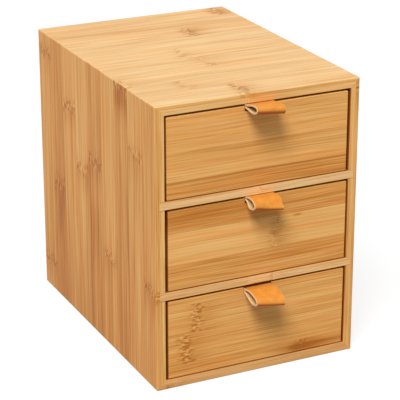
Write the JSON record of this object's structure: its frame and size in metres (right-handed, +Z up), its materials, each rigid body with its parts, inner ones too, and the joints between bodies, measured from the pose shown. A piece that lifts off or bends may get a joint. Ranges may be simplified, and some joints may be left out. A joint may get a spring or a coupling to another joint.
{
  "type": "desktop mini drawers",
  "caption": "Small bamboo desk cabinet with a stack of sliding drawers, each pulled open by a folded leather tab set in a notch in its front.",
  "frame": {"origin": "centre of the case's underside, on the surface that it stands on", "axes": "+X to the right seen from the drawers' side, -Y the way the drawers open, +Z up"},
  "size_m": [0.15, 0.2236, 0.2],
  "materials": {
    "bamboo_case": "satin lacquered laminated bamboo",
    "bamboo_shelf": "satin lacquered laminated bamboo",
    "bamboo_back": "satin lacquered laminated bamboo",
    "bamboo_front": "satin lacquered laminated bamboo",
    "bamboo_box": "matt laminated bamboo",
    "bamboo_base": "matt laminated bamboo",
    "tab_leather": "smooth dyed cowhide with raw edges",
    "pin_steel": "plain",
    "screw_brass": "plain"
  },
  "bodies": {
    "case": {"top_board": "bamboo_case", "bottom_board": "bamboo_case", "left_board": "bamboo_case", "right_board": "bamboo_case", "upper_shelf": "bamboo_shelf", "lower_shelf": "bamboo_shelf", "back_panel": "bamboo_back", "corner_splines": "bamboo_shelf", "back_panel_pins": "pin_steel"},
    "top_drawer": {"top_drawer_front": "bamboo_front", "top_drawer_left_side": "bamboo_box", "top_drawer_right_side": "bamboo_box", "top_drawer_back": "bamboo_box", "top_drawer_base": "bamboo_base", "top_drawer_pins": "pin_steel", "top_pull_tab": "tab_leather", "top_tab_screws": "screw_brass"},
    "middle_drawer": {"middle_drawer_front": "bamboo_front", "middle_drawer_left_side": "bamboo_box", "middle_drawer_right_side": "bamboo_box", "middle_drawer_back": "bamboo_box", "middle_drawer_base": "bamboo_base", "middle_drawer_pins": "pin_steel", "middle_pull_tab": "tab_leather", "middle_tab_screws": "screw_brass"},
    "bottom_drawer": {"bottom_drawer_front": "bamboo_front", "bottom_drawer_left_side": "bamboo_box", "bottom_drawer_right_side": "bamboo_box", "bottom_drawer_back": "bamboo_box", "bottom_drawer_base": "bamboo_base", "bottom_drawer_pins": "pin_steel", "bottom_pull_tab": "tab_leather", "bottom_tab_screws": "screw_brass"}
  },
  "joints": [
    {"name": "top_drawer_slide", "type": "slide", "parent": "case", "child": "top_drawer", "axis": [0, -1, 0], "range_m": [0, 0.15]},
    {"name": "middle_drawer_slide", "type": "slide", "parent": "case", "child": "middle_drawer", "axis": [0, -1, 0], "range_m": [0, 0.15]},
    {"name": "bottom_drawer_slide", "type": "slide", "parent": "case", "child": "bottom_drawer", "axis": [0, -1, 0], "range_m": [0, 0.15]}
  ]
}
